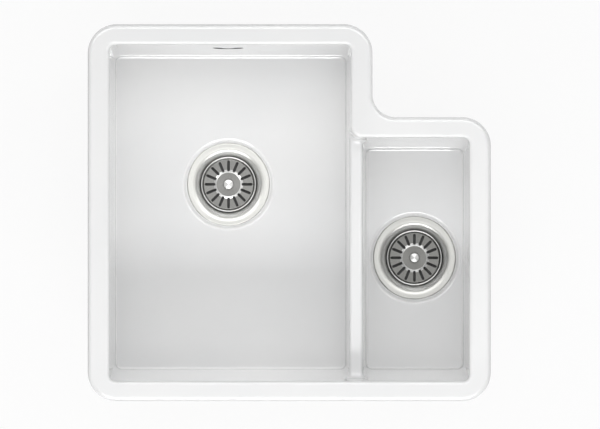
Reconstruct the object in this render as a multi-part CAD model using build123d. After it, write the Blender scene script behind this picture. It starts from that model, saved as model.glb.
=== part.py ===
from build123d import *
from OCP.BRepFilletAPI import BRepFilletAPI_MakeFillet
import os
from math import radians, tan

# Undermount ceramic sink with one and a half bowls and two basket strainer wastes, in millimetres, +Z up.
# The origin is the middle of the rim's outline, on the top face that meets the worktop.
# +Y points to the rear wall, +X to the half bowl.

# Ceramic outline, seen from above, with the rear right corner cut back
overall_width = 540.0
overall_depth = 505.0
notch_width = 158.5
notch_depth = 124.5
outer_corner_radius = 39.0
notch_corner_radius = 30.0

# Rim
rim_side = 29.0
rim_rear = 27.5
rim_front = 27.0
rim_thickness = 18.0
rim_outer_round = 6.0
rim_inner_round = 5.0
rim_under_round = 2.5
rim_to_wall_fillet = 8.0

# Bowls, measured on the wall planes where they meet the rim plane
bowl_depth = 190.0
side_draft = 2.0
end_draft = 4.5
floor_fall = 1.2
corner_round = 8.5
floor_round = 3.0
wall_thickness = 10.0
floor_thickness = 14.0
under_round = 14.0

# Low wall between the bowls
divider_thickness = 17.4
divider_drop = 45.0
divider_round = 4.5
inner_corner_radius = 15.0

# Overflow: slot in the rear wall that sags in the middle, and the chamber cast behind it
overflow_width = 41.5
overflow_height = 13.0
overflow_sag = 12.0
overflow_drop = 54.0
overflow_round = 0.5
chamber_width = 46.0
chamber_depth = 17.0
chamber_wall = 3.5
chamber_inset = 0.5
chamber_top_drop = 27.0
chamber_wide_drop = 80.0
chamber_bottom_drop = 125.0
sleeve_length = 13.0

# Places of the wastes, from the middle of each bowl
main_waste_left = 3.0
main_waste_rear = 38.5
half_waste_rear = 1.5

# Waste seat in the ceramic, below the bowl floor
waste_hole_radius = 46.0
waste_hole_round = 3.0
recess_radius = 61.0
recess_round = 4.0
seat_radius = 57.5
seat_depth = 2.5

# Strainer cup, pressed from sheet; depths are below the waste seat
cup_sheet = 1.0
flange_radius = 56.0
flange_lip_gap = 0.5
flange_round = 1.2
throat_radius = 44.8
throat_round = 12.8
neck_radius = 39.0
neck_depth = 4.0
neck_round = 3.0
ledge_outer_radius = 38.8
ledge_depth = 24.0
ledge_round = 3.0
well_radius = 29.5
well_depth = 15.0
well_round = 2.5
drain_radius = 25.0
drain_arm = 6.0

# Seals above and below the ceramic
flange_seal_thickness = 1.5
flange_seal_width = 3.0
body_seal_thickness = 2.5

# Waste body, moulded, with an outlet tail for a 1 1/2 inch pipe thread
body_bore_radius = 46.5
body_wall = 3.5
body_flange_radius = 62.0
body_flange_thickness = 5.0
body_straight = 44.0
body_cone = 18.0
body_round = 4.0
tail_radius = 23.9
tail_bore_radius = 20.0
tail_length = 26.0
tail_collar = 3.6
hub_radius = 12.0
hub_gap = 5.0
hub_height = 22.0
body_arm = 4.5
body_arm_height = 14.0
arm_count = 4

# Hollow clamp screw and its brass insert
screw_radius = 4.9
screw_bore_radius = 3.2
screw_head_radius = 8.5
screw_head_height = 5.0
screw_head_chamfer = 1.0
screw_slot = 2.0
screw_length = 22.0
insert_radius = 8.0
insert_length = 18.0

# Strainer basket
pan_sheet = 0.8
pan_radius = 37.7
pan_rim_width = 2.2
pan_rim_drop = 7.5
pan_lip = 2.0
pan_depth = 5.0
pan_floor_radius = 34.0
pan_boss_radius = 19.4
pan_boss_height = 1.1
pan_boss_slope = 3.1
pan_slot_count = 16
pan_slot_inner = 17.6
pan_slot_outer = 32.4
pan_slot_width = 3.7
knob_radius = 6.7
knob_waist_radius = 3.4
knob_base_radius = 5.6
knob_height = 10.8
stud_radius = 2.4
stud_length = 7.0
pan_washer_radius = 9.0
pan_washer_thickness = 1.2
stopper_radius = 34.0
stopper_thickness = 4.3
stopper_chamfer = 2.4
stopper_gap = 0.3
post_radius = 5.5
post_neck_radius = 3.8
post_flange_radius = 6.5
post_flange_thickness = 2.5
post_pin_radius = 2.9
post_pin_depth = 22.0
post_tip_chamfer = 1.0

# Overflow pipe and its joint on the main waste body; depth is below the waste seat
pipe_radius = 9.5
pipe_wall = 1.8
pipe_bend_radius = 56.0
pipe_insertion = 14.0
sleeve_wall = 1.2
inlet_depth = 36.0
inlet_radius = 15.0
inlet_reach = 92.0
nut_radius = 20.0
nut_grip = 16.0
nut_lip = 3.0
nut_flute_count = 12
nut_flute_radius = 2.6
cone_seal_length = 5.0
cone_seal_tip = 2.0

# Play between pieces that are pushed together
fit_play = 0.1

# Wall planes of the bowls at the rim plane
main_left = -overall_width / 2 + rim_side
main_right = overall_width / 2 - notch_width - rim_side
half_right = overall_width / 2 - rim_side
bowl_front = -overall_depth / 2 + rim_front
main_rear = overall_depth / 2 - rim_rear
half_rear = main_rear - notch_depth
side_lean = tan(radians(side_draft))
end_lean = tan(radians(end_draft))
half_left = main_right + divider_thickness - 2 * divider_drop * side_lean

# Heights
seat_z = -bowl_depth - seat_depth
underside_z = -bowl_depth - floor_thickness
under_seat = underside_z - seat_z

# Axes of the two wastes
main_waste = ((main_left + main_right) / 2 - main_waste_left, (bowl_front + main_rear) / 2 + main_waste_rear)
half_waste = ((half_left + half_right) / 2, (bowl_front + half_rear) / 2 + half_waste_rear)

# Levels of the waste, from its seat
flange_top = flange_seal_thickness + cup_sheet
ledge_z = -ledge_depth
cup_bottom = ledge_z - well_depth
body_top = under_seat - body_seal_thickness
hub_top = cup_bottom - cup_sheet - hub_gap
pan_rim_z = -pan_rim_drop
pan_floor_z = pan_rim_z - pan_depth
pan_boss_z = pan_floor_z + pan_boss_height
stopper_bottom = ledge_z + stopper_gap
stopper_top = stopper_bottom + stopper_thickness
washer_bottom = pan_boss_z - pan_sheet - pan_washer_thickness
screw_top = cup_bottom + screw_head_height
inlet_z = seat_z - inlet_depth
chamber_bore_radius = pipe_radius + sleeve_wall + 2 * fit_play
chamber_rear = overall_depth / 2 - chamber_inset - chamber_wall
pipe_y = chamber_rear - chamber_bore_radius


def wall_ring(left, right, front, rear, z):
    """Corners at height z of a bowl whose four walls lean in by their draft."""
    left, right = left - z * side_lean, right + z * side_lean
    front, rear = front - z * end_lean, rear + z * end_lean
    return [Vector(left, front, z), Vector(right, front, z), Vector(right, rear, z), Vector(left, rear, z)]


def flat_sided(upper, lower):
    """Solid with flat sides between two level rings of as many corners."""
    sides = zip(upper, upper[1:] + upper[:1], lower[1:] + lower[:1], lower)
    faces = [Face(Wire.make_polygon(corners)) for corners in (upper, lower, *sides)]
    return Solid(Shell(faces))


def edges_at(shape, points):
    """Edges of a shape that pass through the given points."""
    return [e for e in shape.edges() if any(e.distance_to(Vertex(*p)) < 1e-3 for p in points)]


def rounded(solid, *rounds):
    """Rounds sets of edges that meet, each given as (radius, edges), in one go."""
    maker = BRepFilletAPI_MakeFillet(solid.wrapped)
    for radius, edges in rounds:
        for edge in edges:
            maker.Add(radius, edge.wrapped)
    maker.Build()
    return Compound(maker.Shape()).solid()


def turned(points, rounds):
    """Solid of revolution of a closed outline of (radius, height) points, with a round for each point."""
    outline = Plane.XZ * FilletPolyline(*points, radius=rounds, close=True)
    return revolve(make_face(outline), Axis.Z)


def pressed(points, rounds, thickness):
    """Pressed sheet turned about Z; the line runs along the middle of the sheet."""
    line = FilletPolyline(*points, radius=rounds)
    return revolve(Plane.XZ * trace(line, thickness), Axis.Z)


def ring(outer, inner, low, high):
    """Flat-ended tube about Z."""
    return Pos(0, 0, low) * extrude(Circle(outer) - Circle(inner), high - low)


def rod(radius, low, high):
    """Flat-ended cylinder about Z."""
    return Pos(0, 0, low) * extrude(Circle(radius), high - low)


def along_y(shape, x, y, z):
    """Places a piece turned about Z so that its axis points to the rear."""
    return Pos(x, y, z) * Rot(-90, 0, 0) * shape


def bowl(left, right, rear, waste):
    """Space of one bowl, with a floor that falls evenly to its waste."""
    above = rim_thickness
    reach = overall_width + overall_depth
    space = flat_sided(
        wall_ring(left, right, bowl_front, rear, above),
        wall_ring(left, right, bowl_front, rear, underside_z),
    )
    rise = reach * tan(radians(floor_fall))
    floor = [(0, -bowl_depth), (reach, rise - bowl_depth), (reach, reach), (0, reach)]
    over_floor = revolve(Plane.XZ * make_face(Polyline(*floor, close=True)), Axis.Z)
    return space & Pos(*waste, 0) * over_floor


def bowl_corners(left, right, rear, z):
    """Points on the four upright corners of a bowl at height z."""
    return [tuple(p) for p in wall_ring(left, right, bowl_front, rear, z)]


def bowls():
    """Both bowls and the gap over the low divider, with every inner corner rounded."""
    overlap = divider_thickness
    above = rim_thickness
    gap = [
        [
            Vector(main_right - overlap, bowl_front - z * end_lean, z),
            Vector(half_left + overlap, bowl_front - z * end_lean, z),
            Vector(half_left + overlap, half_rear + z * end_lean, z),
            Vector(main_right - overlap, half_rear + z * end_lean, z),
        ]
        for z in (above, -divider_drop)
    ]
    space = bowl(main_left, main_right, main_rear, main_waste)
    space += flat_sided(*gap)
    space += bowl(half_left, half_right, half_rear, half_waste)

    middle_y = (bowl_front + half_rear) / 2
    drop_lean = divider_drop * side_lean
    corner = (main_right, half_rear, 0)
    space = fillet(edges_at(space, [corner]), inner_corner_radius)
    crest_x = (main_right - drop_lean, half_left + drop_lean)
    space = fillet(edges_at(space, [(x, middle_y, -divider_drop) for x in crest_x]), divider_round)

    low = -(divider_drop + bowl_depth) / 2
    uprights = bowl_corners(main_left, main_right, main_rear, low)
    uprights += bowl_corners(half_left, half_right, half_rear, low)
    floors = space.faces().filter_by(GeomType.CONE).filter_by(lambda f: f.center().Z < low)
    floor_edges = [e for f in floors for e in f.edges() if e.geom_type != GeomType.LINE]
    return rounded(space.solid(), (corner_round, edges_at(space, uprights)), (floor_round, floor_edges))


def rim_outline():
    """L-shaped outline of the rim with its rounded corners."""
    half_w, half_d = overall_width / 2, overall_depth / 2
    notch = Vector(half_w - notch_width, half_d - notch_depth)
    corners = [
        (-half_w, -half_d),
        (half_w, -half_d),
        (half_w, notch.Y),
        (notch.X, notch.Y),
        (notch.X, half_d),
        (-half_w, half_d),
    ]
    rounds = [outer_corner_radius] * 3 + [notch_corner_radius] + [outer_corner_radius] * 2
    return make_face(FilletPolyline(*corners, radius=rounds, close=True))


def outer_ring(z):
    """Corners of the L-shaped outside of the bowls at height z."""
    side = wall_thickness + z * side_lean
    end = wall_thickness + z * end_lean
    left, right, notch_x = main_left - side, half_right + side, main_right + side
    front, rear, notch_y = bowl_front - end, main_rear + end, half_rear + end
    front_corners = [(left, front), (right, front)]
    rear_corners = [(right, notch_y), (notch_x, notch_y), (notch_x, rear), (left, rear)]
    return [Vector(x, y, z) for x, y in front_corners + rear_corners]


def level_face(shape, z, upward):
    """The largest flat face of a shape at height z that looks up or down."""
    sign = 1 if upward else -1
    flat = shape.faces().filter_by(GeomType.PLANE)
    found = [f for f in flat if abs(f.center().Z - z) < 1e-3 and f.normal_at().Z * sign > 0.999]
    return max(found, key=lambda f: f.area)


def overflow_chamber(wall, top_z, low_z):
    """Chamber behind the overflow, wide behind the opening and round at the outlet, grown by a wall."""
    upper = SlotOverall(chamber_width + 2 * wall, chamber_depth + 2 * wall)
    outlet = 2 * (chamber_bore_radius + wall)
    lower = SlotOverall(outlet + fit_play, outlet)
    x = main_waste[0]
    sections = [Pos(x, chamber_rear - chamber_depth / 2, z) * upper for z in (top_z, -chamber_wide_drop)]
    return loft([*sections, Pos(x, pipe_y, low_z) * lower], ruled=True)


def overflow_lip(body):
    """Edges of the overflow slot on the plane of the rear wall."""
    half = overflow_width / 2
    found = []
    for edge in body.edges():
        middle = edge.center() - Vector(main_waste[0], main_rear, -overflow_drop)
        off_wall = middle.Y - (middle.Z - overflow_drop) * end_lean
        if abs(off_wall) < 1e-3 and abs(middle.X) < half and abs(middle.Z) < half:
            found.append(edge)
    return found


def sink_body():
    """The ceramic: rim, bowl walls, overflow chamber, waste seats and overflow opening."""
    slab = Pos(0, 0, -rim_thickness) * extrude(rim_outline(), rim_thickness)
    walls = flat_sided(outer_ring(-rim_thickness / 2), outer_ring(underside_z))
    middle = outer_ring((underside_z - rim_thickness) / 2)
    walls = fillet(edges_at(walls, [tuple(p) for p in middle]), corner_round + wall_thickness)
    walls = fillet(level_face(walls, underside_z, False).edges(), under_round)
    body = slab + walls
    body = fillet(level_face(body, -rim_thickness, False).inner_wires()[0].edges(), rim_to_wall_fillet)
    body = fillet(level_face(body, -rim_thickness, False).outer_wire().edges(), rim_under_round)
    body = fillet(level_face(body, 0, True).outer_wire().edges(), rim_outer_round)
    body -= bowls()
    body = fillet(level_face(body, 0, True).inner_wires()[0].edges(), rim_inner_round)

    for x, y in (main_waste, half_waste):
        top = rim_thickness
        recess_z = -bowl_depth + recess_radius * tan(radians(floor_fall))
        slope = (recess_z - seat_z) / (recess_radius - seat_radius)
        wide = recess_radius + top / slope
        seat = [(0, seat_z), (seat_radius, seat_z), (wide, recess_z + top), (0, recess_z + top)]
        body -= Pos(x, y, 0) * revolve(Plane.XZ * make_face(Polyline(*seat, close=True)), Axis.Z)
        body = fillet(edges_at(body, [(x, y - recess_radius, recess_z)]), recess_round)
        body -= Pos(x, y, 0) * rod(waste_hole_radius, underside_z - 1, seat_z + 1)
        body = fillet(edges_at(body, [(x, y - waste_hole_radius, seat_z)]), waste_hole_round)

    x = main_waste[0]
    outlet_z = -chamber_bottom_drop
    body += overflow_chamber(chamber_wall, -rim_thickness / 2, outlet_z)
    body -= overflow_chamber(0, -chamber_top_drop, outlet_z + sleeve_length)
    body -= Pos(x, pipe_y, 0) * rod(chamber_bore_radius, outlet_z - 1, outlet_z + sleeve_length)
    reach = (overflow_width - overflow_height) / 2
    sagging = ThreePointArc((-reach, 0), (0, overflow_sag), (reach, 0))
    front_y = main_rear - chamber_wide_drop * end_lean
    opening = extrude(SlotArc(sagging, overflow_height), pipe_y - front_y)
    body -= along_y(opening, x, front_y, -overflow_drop)
    return fillet(overflow_lip(body), overflow_round)


def strainer_cup():
    """Pressed cup: flange with turned-down lip, funnel, stopper ledge, and a well with a cross in it."""
    half = cup_sheet / 2
    flange_z = flange_top - half
    points = [
        (flange_radius - half, flange_lip_gap),
        (flange_radius - half, flange_z),
        (throat_radius + half, flange_z),
        (neck_radius + half, -neck_depth),
        (ledge_outer_radius + half, ledge_z - half),
        (well_radius + half, ledge_z - half),
        (well_radius + half, cup_bottom - half),
        (screw_radius + fit_play, cup_bottom - half),
    ]
    rounds = [flange_round, throat_round, neck_round, ledge_round, well_round, well_round]
    cup = pressed(points, rounds, cup_sheet)
    arms = Rectangle(2 * drain_radius, drain_arm) + Rectangle(drain_arm, 2 * drain_radius)
    drains = Circle(drain_radius) - Circle(screw_head_radius + drain_arm / 2) - arms
    return cup - Pos(0, 0, cup_bottom - 2 * cup_sheet) * extrude(drains, 3 * cup_sheet)


def waste_body(with_inlet):
    """Moulded body under the ceramic: flange, funnel, hub on arms for the screw insert, threaded tail."""
    outer = body_bore_radius + body_wall
    straight_z = body_top - body_straight
    cone_z = straight_z - body_cone
    collar_z = cone_z - tail_collar
    tail_z = collar_z - tail_length
    collar = tail_radius + tail_collar
    points = [
        (body_bore_radius, body_top),
        (body_bore_radius, straight_z),
        (tail_bore_radius, cone_z),
        (tail_bore_radius, tail_z),
        (tail_radius, tail_z),
        (tail_radius, collar_z),
        (collar, collar_z),
        (collar, cone_z),
        (outer, straight_z),
        (outer, body_top - body_flange_thickness),
        (body_flange_radius, body_top - body_flange_thickness),
        (body_flange_radius, body_top),
    ]
    rounds = [0, body_round, body_round, 0, 0, 0, 0, 0, body_round, body_round / 2, 0, 0]
    shell = turned(points, rounds)
    hub_low = hub_top - hub_height
    arm_z = hub_low + (hub_height - body_arm_height) / 2
    arms = [
        Rot(0, 0, 360 / arm_count * (i + 0.5)) * Pos(body_bore_radius / 2, 0, 0) * Rectangle(outer, body_arm)
        for i in range(arm_count)
    ]
    spokes = Pos(0, 0, arm_z) * extrude(Sketch() + arms, body_arm_height)
    middle = body_bore_radius + body_wall / 2
    core = [(0, body_top), (middle, body_top), (middle, straight_z), (tail_radius, cone_z), (0, cone_z)]
    inside = turned(core, [0] * len(core))
    body = shell + (spokes & inside) + rod(hub_radius, hub_low, hub_top)
    body -= rod(insert_radius + fit_play, hub_top - insert_length, hub_top + 1)
    if with_inlet:
        inlet = along_y(rod(inlet_radius, 0, inlet_reach), 0, 0, -inlet_depth) - inside
        bore = rod(pipe_radius + fit_play, body_bore_radius / 2, inlet_reach + 1)
        body = body + inlet - along_y(bore, 0, 0, -inlet_depth)
    return body


def clamp_screw():
    """Hollow slotted screw that pulls the cup and the body together."""
    head = ring(screw_head_radius, screw_bore_radius, cup_bottom, screw_top)
    head = chamfer(edges_at(head, [(screw_head_radius, 0, screw_top)]), screw_head_chamfer)
    screw = head + ring(screw_radius, screw_bore_radius, cup_bottom - screw_length, cup_bottom)
    slot = Pos(0, 0, screw_top) * Box(3 * screw_head_radius, screw_slot, 2 * screw_slot)
    return screw - slot


def screw_insert():
    """Brass nut moulded into the hub of the waste body."""
    return ring(insert_radius, screw_radius + fit_play, hub_top - insert_length, hub_top)


def flange_seal():
    """Rubber ring between the cup's flange and the ceramic seat."""
    outer = flange_radius - cup_sheet - flange_round
    return ring(outer, outer - flange_seal_width, 0, flange_seal_thickness)


def body_seal():
    """Rubber ring between the ceramic and the waste body."""
    return ring(body_flange_radius, body_bore_radius, body_top, under_seat)


def basket_pan():
    """Strainer pan with a rolled rim, a raised middle and radial slots."""
    half = pan_sheet / 2
    points = [
        (pan_radius - half, pan_rim_z - pan_lip),
        (pan_radius - half, pan_rim_z - half),
        (pan_radius - pan_rim_width, pan_rim_z - half),
        (pan_floor_radius, pan_floor_z - half),
        (pan_boss_radius, pan_floor_z - half),
        (pan_boss_radius - pan_boss_slope, pan_boss_z - half),
        (stud_radius + fit_play, pan_boss_z - half),
    ]
    rim_round = 0.45 * pan_rim_width
    pan = pressed(points, [rim_round, rim_round, pan_sheet * 2, pan_sheet, pan_sheet], pan_sheet)
    slot = SlotOverall(pan_slot_outer - pan_slot_inner, pan_slot_width)
    middle = (pan_slot_outer + pan_slot_inner) / 2
    turns = [Rot(0, 0, 360 / pan_slot_count * i) for i in range(pan_slot_count)]
    slots = [turn * Pos(0, middle) * Rot(0, 0, 90) * slot for turn in turns]
    return pan - Pos(0, 0, pan_floor_z - 3 * pan_sheet) * extrude(Sketch() + slots, pan_depth)


def basket_knob():
    """Turned pull knob with the stud that holds the basket together."""
    z = pan_boss_z
    points = [
        (0, z),
        (knob_base_radius, z),
        (knob_base_radius, z + 0.15 * knob_height),
        (knob_waist_radius, z + 0.32 * knob_height),
        (knob_waist_radius, z + 0.48 * knob_height),
        (knob_radius, z + 0.7 * knob_height),
        (knob_radius, z + 0.92 * knob_height),
        (0, z + knob_height),
    ]
    knob = turned(points, [0, 0, 0.6, 1, 1, 1, 1.4, 0])
    return knob + rod(stud_radius, z - stud_length, z)


def pan_washer():
    """Washer between the pan and the post."""
    washer_top = washer_bottom + pan_washer_thickness
    return ring(pan_washer_radius, stud_radius + fit_play, washer_bottom, washer_top)


def basket_post():
    """Post under the pan: shoulder, neck for the stopper, flange, and the pin that slides in the screw."""
    flange_z = stopper_bottom - post_flange_thickness
    tip_z = screw_top - post_pin_depth
    points = [
        (0, washer_bottom),
        (post_radius, washer_bottom),
        (post_radius, stopper_top),
        (post_neck_radius, stopper_top),
        (post_neck_radius, stopper_bottom),
        (post_flange_radius, stopper_bottom),
        (post_flange_radius, flange_z),
        (post_pin_radius, flange_z - post_flange_thickness),
        (post_pin_radius, tip_z + post_tip_chamfer),
        (post_pin_radius - post_tip_chamfer, tip_z),
        (0, tip_z),
    ]
    post = turned(points, [0] * len(points))
    stud_low = pan_boss_z - stud_length - fit_play
    return post - rod(stud_radius + fit_play, stud_low, washer_bottom)


def stopper():
    """Rubber disc that closes the well."""
    points = [
        (post_neck_radius + fit_play, stopper_bottom),
        (stopper_radius - stopper_chamfer, stopper_bottom),
        (stopper_radius, stopper_bottom + stopper_chamfer),
        (stopper_radius, stopper_top),
        (post_neck_radius + fit_play, stopper_top),
    ]
    return turned(points, [0, 0, 0.8, 0.8, 0])


def overflow_sleeve():
    """Rubber sleeve in the outlet of the ceramic chamber."""
    low = -chamber_bottom_drop
    sleeve = ring(pipe_radius + fit_play + sleeve_wall, pipe_radius + fit_play, low, low + sleeve_length)
    return Pos(main_waste[0], pipe_y, 0) * sleeve


def overflow_pipe():
    """Rigid pipe down the back of the bowl and forward to the main waste body."""
    x, waste_y = main_waste
    top_z = -chamber_bottom_drop + sleeve_length
    end_y = waste_y + inlet_reach - pipe_insertion
    route = [(x, pipe_y, top_z), (x, pipe_y, inlet_z), (x, end_y, inlet_z)]
    path = FilletPolyline(*route, radius=pipe_bend_radius)
    section = Pos(x, pipe_y, top_z) * (Circle(pipe_radius) - Circle(pipe_radius - pipe_wall))
    return sweep(section, path)


def overflow_nut():
    """Fluted nut that presses the cone seal round the pipe."""
    low = inlet_reach - nut_grip
    lip = inlet_reach + cone_seal_length + fit_play
    inner = inlet_radius + fit_play
    bore = pipe_radius + fit_play
    end = lip + nut_lip
    points = [(inner, low), (nut_radius, low), (nut_radius, end), (bore, end), (bore, lip), (inner, lip)]
    nut = turned(points, [0, 0, nut_lip / 2, 0, 0, 0])
    turns = [Rot(0, 0, 360 / nut_flute_count * i) for i in range(nut_flute_count)]
    flutes = [turn * Pos(nut_radius + nut_flute_radius / 2, 0) * Circle(nut_flute_radius) for turn in turns]
    nut -= Pos(0, 0, low - 1) * extrude(Sketch() + flutes, end - low + 2)
    return along_y(nut, *main_waste, inlet_z)


def overflow_cone_seal():
    """Rubber cone washer between the inlet's end and the nut."""
    low = inlet_reach
    high = inlet_reach + cone_seal_length
    bore = pipe_radius + fit_play
    points = [
        (bore, low),
        (inlet_radius, low),
        (inlet_radius, high - cone_seal_tip),
        (bore + cone_seal_tip, high),
        (bore, high),
    ]
    return along_y(turned(points, [0] * len(points)), *main_waste, inlet_z)


def at_waste(shape, waste):
    """Moves a piece from the waste's own seat to its bowl."""
    return Pos(*waste, seat_z) * shape


parts = {
    "sink_body": sink_body(),
    "overflow_sleeve": overflow_sleeve(),
    "overflow_pipe": overflow_pipe(),
    "overflow_nut": overflow_nut(),
    "overflow_cone_seal": overflow_cone_seal(),
    "clamp_screws": Compound(children=[at_waste(clamp_screw(), w) for w in (main_waste, half_waste)]),
    "screw_inserts": Compound(children=[at_waste(screw_insert(), w) for w in (main_waste, half_waste)]),
}
for bowl_name, waste in (("main", main_waste), ("half", half_waste)):
    pieces = {
        "strainer_cup": strainer_cup(),
        "flange_seal": flange_seal(),
        "body_seal": body_seal(),
        "waste_body": waste_body(with_inlet=bowl_name == "main"),
        "basket_pan": basket_pan(),
        "basket_knob": basket_knob(),
        "pan_washer": pan_washer(),
        "basket_post": basket_post(),
        "stopper": stopper(),
    }
    for name, shape in pieces.items():
        parts[f"{bowl_name}_{name}"] = at_waste(shape, waste)

os.makedirs("parts", exist_ok=True)
for name, shape in parts.items():
    export_step(shape, f"parts/{name}.step")
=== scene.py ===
import math

import bmesh
import bpy
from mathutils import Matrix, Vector


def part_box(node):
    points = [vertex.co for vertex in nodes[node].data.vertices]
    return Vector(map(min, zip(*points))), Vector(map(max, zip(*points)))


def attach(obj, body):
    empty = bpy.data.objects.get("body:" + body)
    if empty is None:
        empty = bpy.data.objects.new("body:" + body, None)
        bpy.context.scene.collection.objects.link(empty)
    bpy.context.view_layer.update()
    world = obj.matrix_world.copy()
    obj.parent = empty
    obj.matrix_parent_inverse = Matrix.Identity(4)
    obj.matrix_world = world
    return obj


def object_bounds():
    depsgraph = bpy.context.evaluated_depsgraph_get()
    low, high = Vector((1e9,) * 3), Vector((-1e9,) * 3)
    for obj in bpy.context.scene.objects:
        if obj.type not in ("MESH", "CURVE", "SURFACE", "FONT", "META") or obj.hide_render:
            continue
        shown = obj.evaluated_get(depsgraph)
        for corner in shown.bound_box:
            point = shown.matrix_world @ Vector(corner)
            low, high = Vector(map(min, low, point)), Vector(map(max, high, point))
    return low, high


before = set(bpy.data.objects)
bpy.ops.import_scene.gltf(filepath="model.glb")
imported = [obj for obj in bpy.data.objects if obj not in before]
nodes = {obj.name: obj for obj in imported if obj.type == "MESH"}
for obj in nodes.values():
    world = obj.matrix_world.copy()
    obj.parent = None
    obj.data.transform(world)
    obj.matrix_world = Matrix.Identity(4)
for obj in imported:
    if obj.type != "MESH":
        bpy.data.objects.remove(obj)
cad_low, cad_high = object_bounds()

# Photograph: straight down, nearly without perspective
PHOTO_WIDTH_PX = 600
MM_PER_PX = 1.33862
VIEW_CENTRE = (0.0143, -0.0025)
VIEW_HEIGHT = 22.0
SENSOR_MM = 36.0
CLIP_START = 1.0
CLIP_END = 2.0 * VIEW_HEIGHT

# Outlet thread, 1 1/2 inch, 11 turns to the inch; run-out and end size are shares
THREAD_PITCH = 0.002309
THREAD_TURNS = 9.5
THREAD_HEIGHT = 0.0007
THREAD_RUN_OUT = 0.06
THREAD_END_SIZE = 0.15
THREAD_START = 0.0022
TAIL_RADIUS = 0.0239
STEPS_PER_TURN = 96
FLANK_CORNERS = 4
FLANK_STRETCH = (1.0, 1.5, 1.0)

# Glaze: two whites in faint clouds, uneven gloss and orange peel
GLAZE_COOL = (0.815, 0.819, 0.821)
GLAZE_WARM = (0.841, 0.841, 0.839)
CLOUD_SCALE = 7.0
CLOUD_RANGE = (0.35, 0.65)
GLOSS_SCALE = 28.0
GLOSS_ROUGHNESS = (0.14, 0.2)
FINE_PEEL_SCALE = 160.0
BROAD_PEEL_SCALE = 38.0
BROAD_PEEL_WEIGHT = 2.0
PEEL_DEPTH = 0.00004
PEEL_STRENGTH = 0.35
GLAZE_IOR = 1.62
GLAZE_ROUGHNESS = 0.05
BODY_IOR = 1.55

# Glaze stops on the outside, a little above the flat underside, where bare fired clay shows
GLAZE_LINE_Z = -0.1965
GLAZE_LINE_FADE = 0.0012
GLAZE_LINE_WAVER = 0.0012
WAVER_SCALE = 55.0
CLAY_PALE = (0.78, 0.745, 0.68)
CLAY_DARK = (0.66, 0.62, 0.55)
CLAY_ROUGHNESS = 0.82
GRIT_SCALE = 900.0
GRIT_RANGE = (0.4, 0.7)

# Painted highlights in the floor edges, whiter glaze with a stronger coat reflection: middle and half
# size of each band, seen from above
END_HIGHLIGHTS = (
    ((-0.0794, 0.2093), (0.147, 0.0006)),
    ((0.1632, 0.085), (0.053, 0.0012)),
    ((-0.0794, -0.2108), (0.147, 0.0008)),
    ((0.1689, -0.2108), (0.058, 0.0012)),
)
SIDE_HIGHLIGHTS = (
    ((-0.2348, 0.0), (0.0016, 0.205)),
    ((0.1034, -0.063), (0.0018, 0.145)),
    ((0.2344, -0.063), (0.0018, 0.145)),
)
HIGHLIGHT_TOP = -0.176
HIGHLIGHT_FADE = 0.0003
PAINTED_LIGHT_WHITE = (0.97, 0.97, 0.968)
HIGHLIGHT_IOR = 2.8

# Paler ring round each strainer flange, painted light over the shade in the recess of its seat
SEAT_RADIUS = 0.0588
SEAT_HALF = 0.0024
SEAT_FADE = 0.0008

# Painted shade on the outer arris of the rim: full on the left, half on the rear and the front
ARRIS_SHADE = (0.6, 0.6, 0.597)
LEFT_ARRIS = -0.2683
REAR_ARRIS = 0.2495
FRONT_ARRIS = -0.2502
ARRIS_FADE = 0.0012
END_ARRIS_SHARE = 0.5

# Painted shade on the faces inside the overflow slot; places on the leaning rear wall
REAR_WALL_Y = 0.225
REAR_WALL_LEAN = math.tan(math.radians(4.5))
SLOT_HALF = 0.0235
SLOT_MIDDLE_Z = -0.057
SLOT_REACH = 0.024
SLOT_START = 0.0005
SLOT_DEPTH = 0.018
SLOT_FADE = 0.0004
SLOT_SHADE = (0.13, 0.13, 0.126)

# Steel: fine rings round an axis, with smears across them
RINGS_PER_METRE = 2600.0
RING_RANGE = (0.3, 0.7)
RING_DEPTH = 0.00002
RING_STRENGTH = 0.3
SMEAR_SCALE = 90.0
SMEAR_RANGE = (0.8, 1.2)
STEEL_SMOOTHEST = 0.8
STEEL_ROUGHEST = 1.25
STEEL_ANISOTROPY = 0.35

# Shades of the steel pieces, dark and light: the half bowl's are painted darker, as painted shade, and
# the main knob's lighter, as painted highlight
PAN_LIT_AND_SHADED = {
    "main": ((0.195, 0.194, 0.187), (0.266, 0.265, 0.255)),
    "half": ((0.144, 0.143, 0.137), (0.196, 0.195, 0.187)),
}
CUP_LIT_AND_SHADED = {
    "main": ((0.5, 0.5, 0.48), (0.61, 0.61, 0.585)),
    "half": ((0.41, 0.41, 0.394), (0.5, 0.5, 0.48)),
}
KNOB_LIT_AND_SHADED = {
    "main": ((0.47, 0.47, 0.46), (0.6, 0.6, 0.588)),
    "half": ((0.34, 0.34, 0.335), (0.44, 0.44, 0.43)),
}
SCREW_SHADES = ((0.5, 0.5, 0.49), (0.62, 0.62, 0.61))
CUP_ROUGHNESS = 0.29
KNOB_ROUGHNESS = 0.13
SCREW_ROUGHNESS = 0.3

# Funnel of a strainer cup, painted lighter than its flange as painted light
FUNNEL_PAINTED_LIGHT = (0.8, 0.8, 0.785)
FUNNEL_RADIUS = 0.0445
FUNNEL_FADE = 0.003

# Painted highlight on a strainer pan: on its shoulder and, in part, on its rolled rim
PAN_HIGHLIGHT_DARK = (0.58, 0.58, 0.57)
PAN_HIGHLIGHT_LIGHT = (0.68, 0.68, 0.67)
PAN_HIGHLIGHT_FADE = 0.0005
PAN_HIGHLIGHT_ROUGHNESS = 0.16
BRUSHED_ROUGHNESS = 0.26
SHOULDER_RADIUS = 0.0179
SHOULDER_HALF = 0.0014
PAN_RIM_START = 0.0349
PAN_RIM_HIGHLIGHT_SHARE = 0.6

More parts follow.
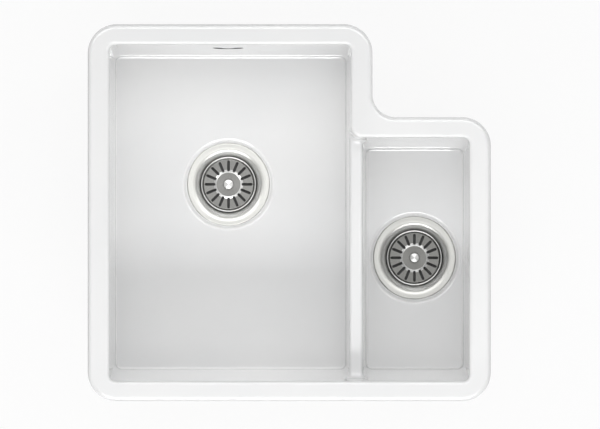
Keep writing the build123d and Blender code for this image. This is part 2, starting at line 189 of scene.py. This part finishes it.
# Moulded plastic: flow clouds and tool texture; dark, light, roughness and grain of each kind
PLASTICS = {
    "waste_plastic": ((0.74, 0.74, 0.73), (0.82, 0.82, 0.81), 0.42, 1100.0),
    "pipe_plastic": ((0.8, 0.8, 0.79), (0.86, 0.86, 0.855), 0.3, 700.0),
    "washer_plastic": ((0.68, 0.67, 0.63), (0.77, 0.76, 0.72), 0.5, 1400.0),
}
FLOW_SCALE = 24.0
FLOW_RANGE = (0.3, 0.7)
SHEEN_SCALE = 130.0
SMOOTHER_BY = 0.06
ROUGHER_BY = 0.08
PLASTIC_IOR = 1.49
PLASTIC_GRAIN_DEPTH = 0.00005
PLASTIC_GRAIN_STRENGTH = 0.4

# Rubber with a dusty bloom; dark and light of each kind
RUBBERS = {
    "seal_rubber": ((0.018, 0.018, 0.019), (0.05, 0.05, 0.052)),
    "stopper_rubber": ((0.1, 0.1, 0.1), (0.17, 0.17, 0.168)),
    "flange_rubber": ((0.66, 0.66, 0.65), (0.74, 0.74, 0.73)),
}
BLOOM_SCALE = 70.0
BLOOM_RANGE = (0.45, 0.75)
RUBBER_ROUGHNESS = (0.55, 0.82)
RUBBER_GRAIN_SCALE = 1500.0
RUBBER_GRAIN_DEPTH = 0.00006
RUBBER_GRAIN_STRENGTH = 0.5

# Turned brass with slight tarnish
BRASS_CLEAN = (0.74, 0.55, 0.25)
BRASS_DULL = (0.5, 0.36, 0.16)
TARNISH_SCALE = 160.0
TARNISH_RANGE = (0.4, 0.7)
BRASS_ROUGHNESS = (0.22, 0.42)
BRASS_GRAIN_SCALE = 700.0
BRASS_GRAIN_DEPTH = 0.00004
BRASS_GRAIN_STRENGTH = 0.4

# Studio; lamps have a name, lean off upright, bearing, width, depth, watts and distance
AMBIENT = 0.315
FLOOR_GAP = 0.0005
FLOOR_SIZE = 14.0
FLOOR_SQUARES = 8
FLOOR_COLOUR = (0.88, 0.88, 0.88)
FLOOR_WHITE_SHARE = 0.88
LAMP_AIM = Vector((-0.04, -0.02, -0.19))
LAMP_NEAR = 1.9
LAMP_FAR = 5.0
REAR, RIGHT, FRONT, LEFT = 0.0, 90.0, 180.0, 270.0
LAMPS = (
    ("rear_softbox", 26.0, REAR, 3.4, 0.6, 12.5, LAMP_NEAR),
    ("rear_high_softbox", 14.0, REAR, 2.2, 0.8, 10.5, LAMP_FAR),
    ("rear_low_softbox", 60.0, REAR, 1.2, 0.4, 3.0, LAMP_NEAR),
    ("front_high_softbox", 14.0, FRONT, 2.2, 0.8, 11.5, LAMP_FAR),
    ("front_strip_light", 44.0, FRONT, 1.8, 0.32, 13.0, LAMP_NEAR),
    ("front_low_softbox", 60.0, FRONT, 1.2, 0.4, 5.6, LAMP_NEAR),
    ("right_softbox", 22.0, RIGHT, 0.4, 1.2, 0.8, LAMP_NEAR),
    ("left_softbox", 24.0, LEFT, 0.4, 1.2, 0.4, LAMP_NEAR),
)


def axis_of(node):
    """Middle of a round CAD node, seen from above."""
    low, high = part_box(node)
    return (low + high) / 2


WASTES = {name: axis_of(f"{name}_strainer_cup") for name in ("main", "half")}


# Node building
class NodeTree:
    """A node tree under construction: adds nodes, sets their values and links them."""

    def __init__(self, tree):
        self.tree = tree
        self.link = tree.links.new

    def add(self, kind, values=None, **settings):
        """A new node with its settings and the values of its inputs."""
        made = self.tree.nodes.new(kind)
        for key, value in settings.items():
            setattr(made, key, value)
        for key, value in (values or {}).items():
            made.inputs[key].default_value = value
        return made

    def maths(self, operation, a, b=0.0):
        """Result of an operation on two values, each a number or a socket."""
        made = self.add("ShaderNodeMath", operation=operation)
        for socket, value in zip(made.inputs, (a, b)):
            if isinstance(value, (int, float)):
                socket.default_value = value
            else:
                self.link(value, socket)
        return made.outputs["Value"]


def emptied(owner):
    """Node tree of a material or world, without the nodes it starts with."""
    owner.use_nodes = True
    owner.node_tree.nodes.clear()
    return owner.node_tree


class Finish(NodeTree):
    """A material under construction, on the object's own coordinates."""

    def __init__(self, name):
        self.material = bpy.data.materials.new(name)
        super().__init__(emptied(self.material))
        output = self.add("ShaderNodeOutputMaterial")
        self.shader = self.add("ShaderNodeBsdfPrincipled")
        self.link(self.shader.outputs["BSDF"], output.inputs["Surface"])
        self.place = self.add("ShaderNodeTexCoord").outputs["Object"]

    def set(self, **values):
        """Constants straight on the shader's own sockets."""
        for key, value in values.items():
            self.shader.inputs[key.replace("_", " ")].default_value = value

    def feed(self, input_name, socket):
        self.link(socket, self.shader.inputs[input_name])

    def axes(self):
        """Place across, along and up, in metres."""
        made = self.add("ShaderNodeSeparateXYZ")
        self.link(self.place, made.inputs["Vector"])
        return made.outputs

    def noise(self, scale, detail=2.0, roughness=0.5):
        values = {"Scale": scale, "Detail": detail, "Roughness": roughness}
        made = self.add("ShaderNodeTexNoise", values)
        self.link(self.place, made.inputs["Vector"])
        return made.outputs["Fac"]

    def spread(self, value, low, high, from_low=0.0, from_high=1.0):
        """Maps a value from one range to another, held at its ends."""
        ends = {"From Min": from_low, "From Max": from_high, "To Min": low, "To Max": high}
        made = self.add("ShaderNodeMapRange", ends)
        self.link(value, made.inputs["Value"])
        return made.outputs["Result"]

    def share(self, value, full_range):
        """0 at the start of a range, 1 at its end."""
        return self.spread(value, 0.0, 1.0, *full_range)

    def within(self, value, middle, reach, fade):
        """1 where a value is within reach of a middle, fading to 0 outside it."""
        off = self.maths("ABSOLUTE", self.maths("SUBTRACT", value, middle))
        return self.spread(off, 1.0, 0.0, reach, reach + fade)

    def blend(self, share, first, second):
        """Mixes two colours, each a tuple or a socket."""
        made = self.add("ShaderNodeMix", data_type="RGBA")
        self.link(share, made.inputs["Factor"])
        sides = [s for s in made.inputs if s.type == "RGBA"]
        for socket, colour in zip(sides, (first, second)):
            if isinstance(colour, tuple):
                socket.default_value = (*colour, 1.0)
            else:
                self.link(colour, socket)
        return [s for s in made.outputs if s.type == "RGBA"][0]

    def relief(self, height, depth, strength):
        """Fine relief from a height socket; depth in metres."""
        made = self.add("ShaderNodeBump", {"Strength": strength, "Distance": depth})
        self.link(height, made.inputs["Height"])
        self.feed("Normal", made.outputs["Normal"])

    def radius_from(self, centre):
        """Distance from an upright axis, in metres."""
        flatten = {"Location": (-centre.x, -centre.y, 0.0), "Scale": (1.0, 1.0, 0.0)}
        moved = self.add("ShaderNodeMapping", flatten)
        self.link(self.place, moved.inputs["Vector"])
        length = self.add("ShaderNodeVectorMath", operation="LENGTH")
        self.link(moved.outputs["Vector"], length.inputs[0])
        return length.outputs["Value"]

    def turning_marks(self, radius):
        """Uneven fine rings, as a lathe or a polishing mop leaves them."""
        values = {"Scale": RINGS_PER_METRE, "Detail": 3.0}
        made = self.add("ShaderNodeTexNoise", values, noise_dimensions="1D")
        self.link(radius, made.inputs["W"])
        return made.outputs["Fac"]


def painted_edge_highlights(f, axes, places):
    """1 on the painted highlights in floor edges."""
    across, along, height = axes
    highlights = 0.0
    for (x, y), (half_x, half_y) in places:
        beside = f.within(across, x, half_x, HIGHLIGHT_FADE)
        ahead = f.within(along, y, half_y, HIGHLIGHT_FADE)
        highlights = f.maths("MAXIMUM", f.maths("MULTIPLY", beside, ahead), highlights)
    low = f.spread(height, 1.0, 0.0, HIGHLIGHT_TOP, HIGHLIGHT_TOP + HIGHLIGHT_FADE)
    return f.maths("MULTIPLY", highlights, low)


def painted_arris_shade(f, axes):
    """Share of painted shade on the left, rear and front arris of the rim."""
    across, along, _ = axes
    left = f.spread(across, 1.0, 0.0, LEFT_ARRIS - ARRIS_FADE, LEFT_ARRIS)
    rear = f.spread(along, 0.0, END_ARRIS_SHARE, REAR_ARRIS, REAR_ARRIS + ARRIS_FADE)
    front = f.spread(along, END_ARRIS_SHARE, 0.0, FRONT_ARRIS - ARRIS_FADE, FRONT_ARRIS)
    return f.maths("MAXIMUM", left, f.maths("MAXIMUM", rear, front))


def painted_slot_shade(f, axes):
    """1 on the faces inside the overflow slot, behind the plane of the rear wall, where shade is
    painted.
    """
    across, along, height = axes
    wall = f.maths("ADD", f.maths("MULTIPLY", height, REAR_WALL_LEAN), REAR_WALL_Y)
    off_wall = f.maths("SUBTRACT", along, wall)
    behind = f.within(off_wall, SLOT_START + SLOT_DEPTH / 2, SLOT_DEPTH / 2, SLOT_FADE)
    level = f.within(height, SLOT_MIDDLE_Z, SLOT_REACH, SLOT_FADE)
    beside = f.within(across, WASTES["main"].x, SLOT_HALF, SLOT_FADE)
    return f.maths("MULTIPLY", behind, f.maths("MULTIPLY", level, beside))


def glazed_ceramic():
    """White glaze with painted highlights in its floor edges, painted light round the flanges, painted
    shade on the outer arris and in the overflow slot, and bare fired clay on the underside.
    """
    f = Finish("white_glaze")
    axes = f.axes()
    waver = f.spread(f.noise(WAVER_SCALE, detail=3.0), -GLAZE_LINE_WAVER, GLAZE_LINE_WAVER)
    height = f.maths("ADD", axes["Z"], waver)
    glazed = f.share(height, (GLAZE_LINE_Z - GLAZE_LINE_FADE, GLAZE_LINE_Z + GLAZE_LINE_FADE))
    cloud = f.share(f.noise(CLOUD_SCALE, detail=3.0), CLOUD_RANGE)
    glaze = f.blend(cloud, GLAZE_COOL, GLAZE_WARM)
    clay = f.blend(f.share(f.noise(GRIT_SCALE), GRIT_RANGE), CLAY_PALE, CLAY_DARK)
    # Painted highlights: whiter glaze in the floor edges
    end_highlight = painted_edge_highlights(f, axes, END_HIGHLIGHTS)
    painted_light = f.maths("MAXIMUM", end_highlight, painted_edge_highlights(f, axes, SIDE_HIGHLIGHTS))
    # Painted light: a paler ring round each flange lifts the shade of its seat
    for centre in WASTES.values():
        ring = f.within(f.radius_from(centre), SEAT_RADIUS, SEAT_HALF, SEAT_FADE)
        painted_light = f.maths("MAXIMUM", painted_light, ring)
    # Painted highlights and light in the edges, painted shade on the outer arris
    glaze_with_painted_light = f.blend(painted_arris_shade(f, axes), f.blend(painted_light, glaze, PAINTED_LIGHT_WHITE), ARRIS_SHADE)
    # Painted shade inside the overflow slot
    slot_shaded = f.blend(painted_slot_shade(f, axes), glaze_with_painted_light, SLOT_SHADE)
    f.feed("Base Color", f.blend(glazed, clay, slot_shaded))
    gloss = f.spread(f.noise(GLOSS_SCALE, detail=4.0), *GLOSS_ROUGHNESS)
    matt = f.spread(glazed, CLAY_ROUGHNESS, 0.0)
    f.feed("Roughness", f.maths("MAXIMUM", gloss, matt))
    f.feed("Coat Weight", glazed)
    # The painted highlights in the end floor edges also get a stronger coat reflection
    f.feed("Coat IOR", f.spread(end_highlight, GLAZE_IOR, HIGHLIGHT_IOR))
    f.set(Coat_Roughness=GLAZE_ROUGHNESS, IOR=BODY_IOR)
    broad_peel = f.maths("MULTIPLY", f.noise(BROAD_PEEL_SCALE, detail=1.0), BROAD_PEEL_WEIGHT)
    f.relief(f.maths("ADD", f.noise(FINE_PEEL_SCALE), broad_peel), PEEL_DEPTH, PEEL_STRENGTH)
    return f.material


def ringed_sheet(f, centre, dark, light):
    """Steel with fine rings round an axis; gives its radius, rings and colour."""
    radius = f.radius_from(centre)
    rings = f.turning_marks(radius)
    smear = f.spread(f.noise(SMEAR_SCALE, detail=3.0), *SMEAR_RANGE)
    colour = f.blend(f.maths("MULTIPLY", rings, smear), dark, light)
    f.set(Metallic=1.0, Anisotropic=STEEL_ANISOTROPY)
    f.relief(rings, RING_DEPTH, RING_STRENGTH)
    return radius, rings, colour


def pressed_steel(name, centre, shades, rough, funnel=None):
    """Stainless sheet, with painted light in its funnel if it has one."""
    f = Finish(name)
    radius, rings, colour = ringed_sheet(f, centre, *shades)
    if funnel:
        # Painted light: a lighter colour in the funnel
        in_funnel = f.spread(radius, 1.0, 0.0, FUNNEL_RADIUS - FUNNEL_FADE, FUNNEL_RADIUS)
        colour = f.blend(in_funnel, colour, funnel)
    f.feed("Base Color", colour)
    f.feed("Roughness", f.spread(rings, rough * STEEL_SMOOTHEST, rough * STEEL_ROUGHEST, *RING_RANGE))
    return f.material


def strainer_steel(name, centre, shades):
    """Brushed sheet of the strainer pan, with a painted highlight on its shoulder and part of its rolled
    rim.
    """
    f = Finish(name)
    radius, rings, brushed = ringed_sheet(f, centre, *shades)
    # Painted highlight on the shoulder and rolled rim
    highlight_colour = f.blend(rings, PAN_HIGHLIGHT_DARK, PAN_HIGHLIGHT_LIGHT)
    on_shoulder = f.within(radius, SHOULDER_RADIUS, SHOULDER_HALF, PAN_HIGHLIGHT_FADE)
    on_rim = f.spread(radius, 0.0, PAN_RIM_HIGHLIGHT_SHARE, PAN_RIM_START, PAN_RIM_START + PAN_HIGHLIGHT_FADE)
    bright = f.maths("MAXIMUM", on_shoulder, on_rim)
    f.feed("Base Color", f.blend(bright, brushed, highlight_colour))
    f.feed("Roughness", f.spread(bright, BRUSHED_ROUGHNESS, PAN_HIGHLIGHT_ROUGHNESS))
    return f.material


def moulded_plastic(name):
    """Moulded plastic with slight flow clouds and a fine tool texture."""
    f = Finish(name)
    dark, light, rough, grain = PLASTICS[name]
    f.feed("Base Color", f.blend(f.share(f.noise(FLOW_SCALE, detail=4.0), FLOW_RANGE), dark, light))
    f.feed("Roughness", f.spread(f.noise(SHEEN_SCALE), rough - SMOOTHER_BY, rough + ROUGHER_BY))
    f.set(IOR=PLASTIC_IOR)
    f.relief(f.noise(grain), PLASTIC_GRAIN_DEPTH, PLASTIC_GRAIN_STRENGTH)
    return f.material


def moulded_rubber(name):
    """Rubber with a dusty bloom."""
    f = Finish(name)
    bloom = f.share(f.noise(BLOOM_SCALE, detail=5.0, roughness=0.65), BLOOM_RANGE)
    f.feed("Base Color", f.blend(bloom, *RUBBERS[name]))
    f.feed("Roughness", f.spread(bloom, *RUBBER_ROUGHNESS))
    f.relief(f.noise(RUBBER_GRAIN_SCALE), RUBBER_GRAIN_DEPTH, RUBBER_GRAIN_STRENGTH)
    return f.material


def insert_brass():
    """Turned brass with slight tarnish."""
    f = Finish("insert_brass")
    tarnish = f.noise(TARNISH_SCALE, detail=4.0)
    f.feed("Base Color", f.blend(f.share(tarnish, TARNISH_RANGE), BRASS_CLEAN, BRASS_DULL))
    f.feed("Roughness", f.spread(tarnish, *BRASS_ROUGHNESS))
    f.set(Metallic=1.0)
    f.relief(f.noise(BRASS_GRAIN_SCALE), BRASS_GRAIN_DEPTH, BRASS_GRAIN_STRENGTH)
    return f.material


def dress(finish, *names):
    for name in names:
        nodes[name].material_slots[0].material = finish


body_plastic = moulded_plastic("waste_plastic")
washer_plastic = moulded_plastic("washer_plastic")
seal_rubber = moulded_rubber("seal_rubber")
stopper_rubber = moulded_rubber("stopper_rubber")
flange_rubber = moulded_rubber("flange_rubber")
dress(glazed_ceramic(), "sink_body")
dress(seal_rubber, "overflow_sleeve", "overflow_cone_seal")
dress(body_plastic, "overflow_nut")
dress(moulded_plastic("pipe_plastic"), "overflow_pipe")
dress(insert_brass(), "screw_inserts")
dress(pressed_steel("clamp_screw_steel", WASTES["main"], SCREW_SHADES, SCREW_ROUGHNESS), "clamp_screws")
# Per waste, lit and shaded copies of one steel: painted shade on the half bowl's pieces, painted
# highlight on the main knob
for waste, centre in WASTES.items():
    cup = pressed_steel(f"{waste}_cup_steel_painted_light", centre, CUP_LIT_AND_SHADED[waste], CUP_ROUGHNESS, FUNNEL_PAINTED_LIGHT)
    knob = pressed_steel(f"{waste}_knob_steel", centre, KNOB_LIT_AND_SHADED[waste], KNOB_ROUGHNESS)
    pan = strainer_steel(f"{waste}_pan_steel_painted_light", centre, PAN_LIT_AND_SHADED[waste])
    dress(cup, f"{waste}_strainer_cup")
    dress(pan, f"{waste}_basket_pan")
    dress(knob, f"{waste}_basket_knob", f"{waste}_basket_post")
    dress(flange_rubber, f"{waste}_flange_seal")
    dress(seal_rubber, f"{waste}_body_seal")
    dress(stopper_rubber, f"{waste}_stopper")
    dress(body_plastic, f"{waste}_waste_body")
    dress(washer_plastic, f"{waste}_pan_washer")


# Outlet threads, a tapered helix on each tail
def thread_tree():
    """Node tree: one helical ridge with run-out, set on both outlet tails."""
    tree = bpy.data.node_groups.new("outlet_thread", "GeometryNodeTree")
    kinds = {
        "Pitch": "NodeSocketFloat",
        "Turns": "NodeSocketFloat",
        "Tail radius": "NodeSocketFloat",
        "Ridge height": "NodeSocketFloat",
        "Run out": "NodeSocketFloat",
        "Main tail": "NodeSocketVector",
        "Half tail": "NodeSocketVector",
        "Material": "NodeSocketMaterial",
    }
    for name, kind in kinds.items():
        tree.interface.new_socket(name=name, in_out="INPUT", socket_type=kind)
    tree.interface.new_socket(name="Threads", in_out="OUTPUT", socket_type="NodeSocketGeometry")

    t = NodeTree(tree)
    inputs = t.add("NodeGroupInput").outputs
    helix = t.add("GeometryNodeCurveSpiral", {"Resolution": STEPS_PER_TURN})
    t.link(inputs["Turns"], helix.inputs["Rotations"])
    t.link(inputs["Tail radius"], helix.inputs["Start Radius"])
    t.link(inputs["Tail radius"], helix.inputs["End Radius"])
    t.link(t.maths("MULTIPLY", inputs["Turns"], inputs["Pitch"]), helix.inputs["Height"])
    upright = t.add("GeometryNodeSetCurveNormal", mode="Z_UP")
    t.link(helix.outputs["Curve"], upright.inputs["Curve"])
    along = t.add("GeometryNodeSplineParameter").outputs["Factor"]
    from_end = t.maths("MINIMUM", along, t.maths("SUBTRACT", 1.0, along))
    taper = t.add("ShaderNodeMapRange", {"To Min": THREAD_END_SIZE, "To Max": 1.0})
    t.link(from_end, taper.inputs["Value"])
    t.link(inputs["Run out"], taper.inputs["From Max"])
    tapered = t.add("GeometryNodeSetCurveRadius")
    t.link(upright.outputs["Curve"], tapered.inputs["Curve"])
    t.link(taper.outputs["Result"], tapered.inputs["Radius"])
    flank = t.add("GeometryNodeCurvePrimitiveCircle", {"Resolution": FLANK_CORNERS}, mode="RADIUS")
    t.link(inputs["Ridge height"], flank.inputs["Radius"])
    wide = t.add("GeometryNodeTransform", {"Scale": FLANK_STRETCH})
    t.link(flank.outputs["Curve"], wide.inputs["Geometry"])
    ridge = t.add("GeometryNodeCurveToMesh", {"Fill Caps": True})
    t.link(tapered.outputs["Curve"], ridge.inputs["Curve"])
    t.link(wide.outputs["Geometry"], ridge.inputs["Profile Curve"])
    join = t.add("GeometryNodeJoinGeometry")
    for tail in ("Main tail", "Half tail"):
        moved = t.add("GeometryNodeTransform")
        t.link(ridge.outputs["Mesh"], moved.inputs["Geometry"])
        t.link(inputs[tail], moved.inputs["Translation"])
        t.link(moved.outputs["Geometry"], join.inputs["Geometry"])
    real = t.add("GeometryNodeRealizeInstances")
    t.link(join.outputs["Geometry"], real.inputs["Geometry"])
    painted = t.add("GeometryNodeSetMaterial")
    t.link(real.outputs["Geometry"], painted.inputs["Geometry"])
    t.link(inputs["Material"], painted.inputs["Material"])
    out = t.add("NodeGroupOutput")
    t.link(painted.outputs["Geometry"], out.inputs["Threads"])
    return tree


def grown(name, tree, values):
    """A plain mesh piece from a geometry node tree and its named inputs."""
    seed_mesh = bpy.data.meshes.new(name + "_seed")
    maker = bpy.data.objects.new(name + "_maker", seed_mesh)
    bpy.context.scene.collection.objects.link(maker)
    modifier = maker.modifiers.new(name, "NODES")
    modifier.node_group = tree
    sockets = {s.name: s.identifier for s in tree.interface.items_tree if s.in_out == "INPUT"}
    for key, value in values.items():
        modifier[sockets[key]] = value
    bpy.context.view_layer.update()
    evaluated = maker.evaluated_get(bpy.context.evaluated_depsgraph_get())
    mesh = bpy.data.meshes.new_from_object(evaluated)
    maker.modifiers.remove(modifier)
    bpy.data.objects.remove(maker)
    bpy.data.meshes.remove(seed_mesh)
    piece = bpy.data.objects.new(name, mesh)
    mesh.name = name
    bpy.context.scene.collection.objects.link(piece)
    return piece


thread_low = cad_low.z + THREAD_START
threads = grown(
    "outlet_threads",
    thread_tree(),
    {
        "Pitch": THREAD_PITCH,
        "Turns": THREAD_TURNS,
        "Tail radius": TAIL_RADIUS,
        "Ridge height": THREAD_HEIGHT,
        "Run out": THREAD_RUN_OUT,
        "Main tail": (WASTES["main"].x, WASTES["main"].y, thread_low),
        "Half tail": (WASTES["half"].x, WASTES["half"].y, thread_low),
        "Material": body_plastic,
    },
)
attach(threads, "sink")


# Studio building
def backdrop_share(t):
    """1 on rays that show the backdrop itself: seen straight, mirrored or through glass."""
    path = t.add("ShaderNodeLightPath").outputs
    mirrored = t.maths("MAXIMUM", path["Is Camera Ray"], path["Is Glossy Ray"])
    return t.maths("MAXIMUM", mirrored, path["Is Transmission Ray"])


def floor_paint():
    """Pale matt paint, nearly white where it is seen, which keeps a faint shadow."""
    paint = bpy.data.materials.new("floor_paint")
    t = NodeTree(emptied(paint))
    output = t.add("ShaderNodeOutputMaterial")
    matt = t.add("ShaderNodeBsdfDiffuse", {"Color": (*FLOOR_COLOUR, 1.0)})
    white = t.add("ShaderNodeEmission", {"Strength": 1.0})
    mix = t.add("ShaderNodeMixShader")
    t.link(t.maths("MULTIPLY", backdrop_share(t), FLOOR_WHITE_SHARE), mix.inputs["Fac"])
    t.link(matt.outputs["BSDF"], mix.inputs[1])
    t.link(white.outputs["Emission"], mix.inputs[2])
    t.link(mix.outputs["Shader"], output.inputs["Surface"])
    return paint


def pale_floor():
    """Wide plain floor just under the outlet tails."""
    z = cad_low.z - FLOOR_GAP
    mesh = bpy.data.meshes.new("studio_floor")
    shape = bmesh.new()
    bmesh.ops.create_grid(shape, x_segments=FLOOR_SQUARES, y_segments=FLOOR_SQUARES, size=FLOOR_SIZE / 2)
    bmesh.ops.translate(shape, verts=shape.verts, vec=(0.0, 0.0, z))
    shape.to_mesh(mesh)
    shape.free()
    mesh.materials.append(floor_paint())
    floor = bpy.data.objects.new("studio_floor", mesh)
    bpy.context.scene.collection.objects.link(floor)


def white_world():
    """Even soft light all round, white where it is seen."""
    world = bpy.data.worlds.new("studio_world")
    bpy.context.scene.world = world
    t = NodeTree(emptied(world))
    output = t.add("ShaderNodeOutputWorld")
    sky = t.add("ShaderNodeBackground", {"Color": (1.0, 1.0, 1.0, 1.0)})
    level = t.add("ShaderNodeMapRange", {"To Min": AMBIENT, "To Max": 1.0})
    t.link(backdrop_share(t), level.inputs["Value"])
    t.link(level.outputs["Result"], sky.inputs["Strength"])
    t.link(sky.outputs["Background"], output.inputs["Surface"])


def softbox(name, lean, bearing, width, depth, watts, distance):
    """Rectangular soft light, leaning off upright towards a compass bearing, rear being 0."""
    lamp = bpy.data.lights.new(name, "AREA")
    lamp.shape = "RECTANGLE"
    lamp.size = width
    lamp.size_y = depth
    lamp.energy = watts
    tilt = math.radians(lean)
    turn = math.radians(bearing)
    level = math.sin(tilt)
    outward = Vector((level * math.sin(turn), level * math.cos(turn), math.cos(tilt)))
    holder = bpy.data.objects.new(name, lamp)
    holder.location = LAMP_AIM + outward * distance
    holder.rotation_mode = "QUATERNION"
    holder.rotation_quaternion = (-outward).to_track_quat("-Z", "Y")
    holder.visible_camera = False
    bpy.context.scene.collection.objects.link(holder)


def photo_camera():
    """Long lens straight above the sink, framed as in the photograph."""
    lens = bpy.data.cameras.new("photo_camera")
    lens.sensor_width = SENSOR_MM
    frame_width = PHOTO_WIDTH_PX * MM_PER_PX / 1000.0
    lens.lens = SENSOR_MM * VIEW_HEIGHT / frame_width
    lens.clip_start = CLIP_START
    lens.clip_end = CLIP_END
    camera = bpy.data.objects.new("photo_camera", lens)
    camera.location = (*VIEW_CENTRE, VIEW_HEIGHT)
    bpy.context.scene.collection.objects.link(camera)
    bpy.context.scene.camera = camera


pale_floor()
white_world()
for lamp_sizes in LAMPS:
    softbox(*lamp_sizes)
photo_camera()
bpy.context.scene.view_settings.view_transform = "Standard"
